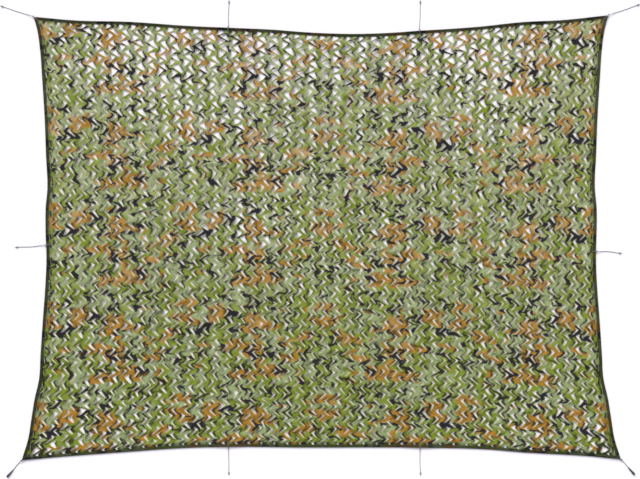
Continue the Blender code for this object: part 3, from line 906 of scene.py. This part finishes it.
def lay_out_hem_map(mesh, count, sides):
    """The hem's bake map: its four edges unrolled below each other."""
    ring, side = np.meshgrid(np.arange(count), np.arange(sides), indexing="ij")
    ends = np.cumsum([len(at) for _, at in round_the_rim(HEM_STEPS)])
    edge = np.searchsorted(ends, ring, side="right")
    starts = np.concatenate(([0], ends[:-1]))
    longest = COLUMNS * HEM_STEPS
    corners = []
    for further, round_the_roll in ((0, 0), (1, 0), (1, 1), (0, 1)):
        along = (ring + further - starts[edge]) / longest
        around = (side + round_the_roll) / sides
        u = BAKE_MARGIN + along * (1 - 2 * BAKE_MARGIN)
        v = (edge + BAKE_MARGIN + around * (1 - 2 * BAKE_MARGIN)) / len(ends)
        corners.append(np.stack((u, v), axis=-1))
    put_map(mesh, "OFBake", np.stack(corners, axis=2))


def model_stitch():
    """One stitch along X, whose ends go down into the cloth."""
    bpy.ops.object.select_all(action="DESELECT")
    turned = (0.0, math.pi / 2, 0.0)
    bpy.ops.mesh.primitive_cylinder_add(
        vertices=STITCH_SIDES, radius=STITCH_RADIUS, depth=STITCH_LENGTH, rotation=turned
    )
    stitch = bpy.context.object
    bpy.ops.object.transform_apply(location=False, rotation=True, scale=False)
    for way in (-1.0, 1.0):
        bpy.ops.object.mode_set(mode="EDIT")
        bpy.ops.mesh.select_mode(type="FACE")
        bpy.ops.mesh.select_all(action="DESELECT")
        bpy.ops.object.mode_set(mode="OBJECT")
        for face in stitch.data.polygons:
            face.select = face.normal.x * way > 0.9
        bpy.ops.object.mode_set(mode="EDIT")
        run = (way * STITCH_TIP, 0.0, -STITCH_TIP)
        bpy.ops.mesh.extrude_region_move(TRANSFORM_OT_translate={"value": run})
        bpy.ops.transform.resize(value=(1.0, STITCH_TAPER, STITCH_TAPER))
        bpy.ops.object.mode_set(mode="OBJECT")
    return stitch


def make_stitches():
    """The row of stitches that holds the hem's flap down, from one modelled stitch."""
    stitch = model_stitch()
    shape = np.array([vertex.co for vertex in stitch.data.vertices])
    faces = sorted(list(face.vertices) for face in stitch.data.polygons)
    bpy.data.objects.remove(stitch)
    steps, lifts = rim_between(HEM_STEPS)
    line = rim_points(HEM_STEPS) + STITCH_INSET * steps
    line = np.column_stack((line, STITCH_HEIGHT + lifts))
    line = np.concatenate((line, line[:1]))
    far = distance_along(line)
    count = round(far[-1] / STITCH_SPACING)
    at = (np.arange(count) + 0.5) * far[-1] / count
    middle, before, after = (
        read_between(line, far, at + move) for move in (0.0, -STITCH_LENGTH / 2, STITCH_LENGTH / 2)
    )
    ahead = unit(after - before)
    side = unit(np.cross((0.0, 0.0, 1.0), ahead))
    ways = np.stack((ahead, side, np.cross(ahead, side)), axis=1)
    points = (middle[:, None] + shape @ ways).reshape(-1, 3).tolist()
    every = [[corner + k * len(shape) for corner in face] for k in range(count) for face in faces]
    return new_piece("hem_stitches", points, every, thread_finish(), "net_cloth", smooth=False)


# ------------ cords and knots

CORD_LAY = 0.011  # the length in which a strand goes once round the cord
CORD_STRANDS = 3
STRAND_DEPTH = 0.16  # of the hollows between them, as a share of the cord's radius
CORD_RING_SIDES = 12
CORD_RING_SPACING = 0.0012
FEWEST_RINGS = 6
UPRIGHT = 0.1  # a cord that leans less than this counts as standing

KNOT_WIND = 0.86  # from one turn of an end knot to the next, in diameters
WIND_POINTS = 18  # of an end knot's path, to one turn
KNOT_POINTS = 40  # and to the whole knot at least
WIND_START = 0.6  # the angle at which the first turn starts
TAIL_POINTS = 24
THINNER = 0.9  # a tail or a hitch's wraps, against the cord

# A hitch's way over the hem and back below it: a distance out from the net's edge, which a
# corner's slant lengthens, a distance that it doesn't, and the height of the cord's middle.
HITCH_LOOP = (
    (-0.0252, 0.00000, 0.00340),
    (-0.0252, -0.00104, 0.00640),
    (-0.0252, 0.00100, 0.01120),
    (-0.0150, 0.00000, 0.01476),
    (-0.0100, 0.00000, 0.01694),
    (-0.0050, 0.00000, 0.01720),
    (0.0000, -0.00050, 0.01528),
    (0.0000, 0.00260, 0.00960),
    (0.0000, 0.00000, 0.00520),
    (-0.0040, 0.00000, 0.00200),
    (-0.0100, 0.00000, 0.00220),
    (-0.0160, 0.00000, 0.00220),
)
LOOP_POINTS = 60
LOOP_LOWEST = CORD_DIAMETER / 2 + 0.0001
WRAP_TURNS = 2.2  # of the knot that closes a hitch
WRAP_RADIUS = HITCH_KNOT_RADIUS - CORD_DIAMETER * 0.42
WRAP_WIDER = 1.15  # along the net's edge, against its height
WRAP_LENGTH = CORD_DIAMETER * 1.5


def ring_frames(middle, closed):
    """The way ahead at each ring of a cord, and two ways square to it that turn little."""
    if closed:
        ahead = np.roll(middle, -1, axis=0) - np.roll(middle, 1, axis=0)
    else:
        ahead = np.gradient(middle, axis=0)
    ahead = unit(ahead)
    side = np.cross(ahead[0], (0.0, 0.0, 1.0))
    if np.linalg.norm(side) < UPRIGHT:
        side = np.cross(ahead[0], (1.0, 0.0, 0.0))
    sides = []
    for direction in ahead:
        side = unit(side - direction * (side @ direction))
        sides.append(side)
    return ahead, np.array(sides), np.cross(sides, ahead)


def tube(path, diameter, closed=False):
    """A laid cord along a path: its points and faces, and how near each point is to the back
    of a strand."""
    line = np.concatenate((path, path[:1])) if closed else path
    far = distance_along(line)
    count = max(FEWEST_RINGS, round(far[-1] / CORD_RING_SPACING))
    at = np.linspace(0.0, far[-1], count, endpoint=not closed)
    middle = read_between(line, far, at)
    ahead, side, up = ring_frames(middle, closed)
    turns, untwist = far[-1] / CORD_LAY, np.zeros(count)
    if closed:
        back = unit(side[-1] - ahead[0] * (side[-1] @ ahead[0]))
        twist = math.atan2(back @ up[0], back @ side[0])
        turns, untwist = round(turns), -twist * np.arange(count) / count
    turn = 2 * np.pi * np.arange(CORD_RING_SIDES) / CORD_RING_SIDES
    strand = CORD_STRANDS / 2 * (turn[None] - 2 * np.pi * turns * (at / far[-1])[:, None])
    ridge = np.abs(np.cos(strand))
    radius = (diameter / 2 * (1 - STRAND_DEPTH + STRAND_DEPTH * ridge))[..., None]
    angle = (turn[None] + untwist[:, None])[..., None]
    way_out = np.cos(angle) * side[:, None] + np.sin(angle) * up[:, None]
    points = middle[:, None] + radius * way_out
    index = np.arange(count * CORD_RING_SIDES).reshape(count, CORD_RING_SIDES)
    further = np.roll(index, -1, axis=0)
    faces = np.stack((index, np.roll(index, -1, 1), np.roll(further, -1, 1), further), axis=-1)
    if not closed:
        faces = faces[:-1]
    faces = faces.reshape(-1, 4).tolist()
    if not closed:
        faces += [index[0][::-1].tolist(), index[-1].tolist()]
    return points.reshape(-1, 3), faces, ridge.ravel()


def corded_piece(name, tubes, look):
    """One piece from several tubes, in the look's material; the look's slot is not used."""
    points, faces, ridges, count = [], [], [], 0
    for tube_points, tube_faces, ridge in tubes:
        points += tube_points.tolist()
        faces += [[corner + count for corner in face] for face in tube_faces]
        ridges.append(ridge)
        count = len(points)
    return new_piece(name, points, faces, *look, numbers={"ridge": np.concatenate(ridges)})


def tie_hold(tie):
    """Where a tie holds the net, the way out of the net there, and how much further in a
    corner's slant puts the hem's lines than a straight edge does."""
    place = tie.hold
    if tie.share is not None:
        ties = sorted(other.share for other in TIES if other.hold == place)
        cells = TIE_COLUMNS if place in ("top", "bottom") else (TIE_ROW,)
        cell = cells[ties.index(tie.share)]
        low, high = edge_point(place, np.array((cell, cell + 1)))
        here, along = (low + high) / 2, unit(high - low)
        out = np.array((along[1], -along[0]))
        return here, out * math.copysign(1.0, out @ here), 1.0
    corner = np.array(CORNERS[place])
    level, side = place.split("_")
    beside_number = 1 if side == "left" else COLUMNS - 1
    above_number = 1 if level == "bottom" else ROWS - 1
    beside = unit(edge_point(level, np.array(beside_number)) - corner)
    above = unit(edge_point(side, np.array(above_number)) - corner)
    half_angle = math.acos(float(beside @ above)) / 2
    return corner, -unit(beside + above), 1 / math.sin(half_angle)


def hitch_knot_middle(here, out):
    return here + out * (HITCH_KNOT_RADIUS + CORD_CLEARANCE)


def cord_ends(tie):
    """Where a tie's cord leaves its hitch, and where it enters its end knot."""
    here, out, _ = tie_hold(tie)
    along = unit(tie.run)
    aside = math.acos(float(np.clip(out @ along, -1.0, 1.0)))
    turns = [2 * math.pi * (side + 0.5) / HITCH_SIDES for side in range(HITCH_SIDES)]
    knot_face = HITCH_KNOT_RADIUS * max(math.cos(turn - aside) for turn in turns)
    start = hitch_knot_middle(here, out) + along * (knot_face + SEAT_GAP)
    end = here + np.array(tie.run) - along * (KNOTS[tie.knot].seat + SEAT_GAP)
    return start, end


def cord_route(tie):
    """The middle of a tie's cord, from its hitch to its end knot."""
    start, end = cord_ends(tie)
    run = end - start
    sideways = np.array((-run[1], run[0])) / np.linalg.norm(run)
    share = np.linspace(0.0, 1.0, ROUTE_POINTS)
    bow, height = smooth_read(CORD_ROUTE, share).T
    plan = start + run * share[:, None] + sideways * (tie.bow * bow)[:, None]
    return np.column_stack((plan, height))


def make_knot(tie, look):
    """The turns of a tie's end knot round its cord, and the cord's short tail."""
    _, end = cord_ends(tie)
    along = unit(tie.run)
    side = np.array((-along[1], along[0]))
    knot = KNOTS[tie.knot]
    section, tail_rows = np.array(knot.turns), np.array(knot.tail)
    length = section[-1, 0] - section[0, 0]
    winds = length / (CORD_DIAMETER * KNOT_WIND)
    t = np.linspace(0.0, 1.0, max(KNOT_POINTS, int(winds * WIND_POINTS)))
    distance = section[0, 0] + length * t
    height, half_width, half_height = smooth_read(section, distance).T
    turn = 2 * np.pi * winds * t + WIND_START
    across = (half_width - CORD_DIAMETER / 2) * np.cos(turn)
    rise = (half_height - CORD_DIAMETER / 2) * np.sin(turn)
    middle = end + along * (distance[:, None] + SEAT_GAP)
    coil = np.column_stack((middle + side * across[:, None], height + rise))
    reach = np.linspace(0.0, knot.tail_end, TAIL_POINTS)
    tail_height = np.interp(reach, tail_rows[:, 0], tail_rows[:, 1])
    tail = np.column_stack((end + along * (reach[:, None] + SEAT_GAP), tail_height))
    tubes = [tube(coil, CORD_DIAMETER), tube(tail, CORD_DIAMETER * THINNER)]
    return corded_piece("knot_" + tie.name, tubes, look)


def make_hitch(tie, look):
    """A tie's loop round the hem, and the knot that closes it at the net's edge."""
    here, out, slant = tie_hold(tie)
    slanted, straight, height = smooth_ring(np.array(HITCH_LOOP), LOOP_POINTS).T
    reach = slanted * slant + straight
    ring = np.column_stack((here + out * reach[:, None], np.maximum(height, LOOP_LOWEST)))
    side = np.array((-out[1], out[0]))
    t = np.linspace(0.0, 1.0, LOOP_POINTS)
    turn = 2 * np.pi * WRAP_TURNS * t
    across = side * (WRAP_RADIUS * WRAP_WIDER * np.cos(turn))[:, None]
    plan = hitch_knot_middle(here, out) + across + out * ((t - 0.5) * WRAP_LENGTH)[:, None]
    wraps = np.column_stack((plan, HITCH_HEIGHT + WRAP_RADIUS * np.sin(turn)))
    tubes = [tube(ring, CORD_DIAMETER, closed=True), tube(wraps, CORD_DIAMETER * THINNER)]
    return corded_piece("hitch_" + tie.name, tubes, look)


# ------------ camera, light and floor

VIEW_MIDDLE = (-0.00875, -0.01225)
VIEW_WIDTH = 4.48  # of what the camera sees of the floor
CAMERA_HEIGHT = 9.0
FLOOR_DROP = 0.0008  # how far below the net's lowest points the floor lies
FLOOR_COLOUR = (0.92, 0.905, 0.99, 1.0)
SUN_COLOUR = (1.0, 0.985, 0.93)
SKY_COLOUR = (0.97, 0.95, 1.0, 1.0)


def set_the_stage():
    bpy.ops.object.camera_add(location=(*VIEW_MIDDLE, CAMERA_HEIGHT), rotation=(0.0, 0.0, 0.0))
    camera = bpy.context.object
    camera.data.sensor_width = 36.0
    camera.data.lens = camera.data.sensor_width * CAMERA_HEIGHT / VIEW_WIDTH
    camera.data.clip_end = 400.0
    bpy.context.scene.camera = camera
    bpy.ops.mesh.primitive_plane_add(size=200.0, location=(0.0, 0.0, -FLOOR_DROP))
    floor = bpy.context.object
    floor.name = "floor"
    paint = Finish("floor", Roughness=0.9, Base_Color=FLOOR_COLOUR)
    floor.data.materials.append(paint.material)
    floor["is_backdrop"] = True
    bpy.ops.object.light_add(type="SUN", location=(-1.0, 3.0, 5.0), rotation=(-0.85, -0.35, 0.0))
    sun = bpy.context.object.data
    sun.angle = 0.6
    sun.energy = 3.1
    sun.color = SUN_COLOUR
    world = bpy.data.worlds.new("studio")
    world.use_nodes = True
    sky = world.node_tree.nodes["Background"]
    sky.inputs["Color"].default_value = SKY_COLOUR
    sky.inputs["Strength"].default_value = 0.56
    bpy.context.scene.world = world
    bpy.context.scene.view_settings.view_transform = "Standard"


# ------------ the whole net


def make_ties():
    finishes = {slot: cord_finish(slot) for slot in CORD_COLOURS}
    for tie in TIES:
        slot = KNOTS[tie.knot].slot
        look = (finishes[slot], slot)
        route = cord_route(tie)
        hitch = make_hitch(tie, look)
        cord = corded_piece("cord_" + tie.name, [tube(route, CORD_DIAMETER)], look)
        knot = make_knot(tie, look)
        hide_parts("tie_hitch_" + tie.name)
        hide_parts("tie_cord_" + tie.name)
        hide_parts("tie_knot_" + tie.name)


def main():
    bpy.ops.object.select_all(action="DESELECT")
    set_the_stage()
    make_ties()
    sewn = [make_hem(), make_stitches()]
    for strip, flat, area in make_net():
        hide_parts("net_cloth")
        share = area / (flat[0] * flat[1])
        area if share < 1 else None
    boxes = {"cad": solid_box, "visual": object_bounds()}
    {key: [list(corner) for corner in box] for key, box in boxes.items()}


main()
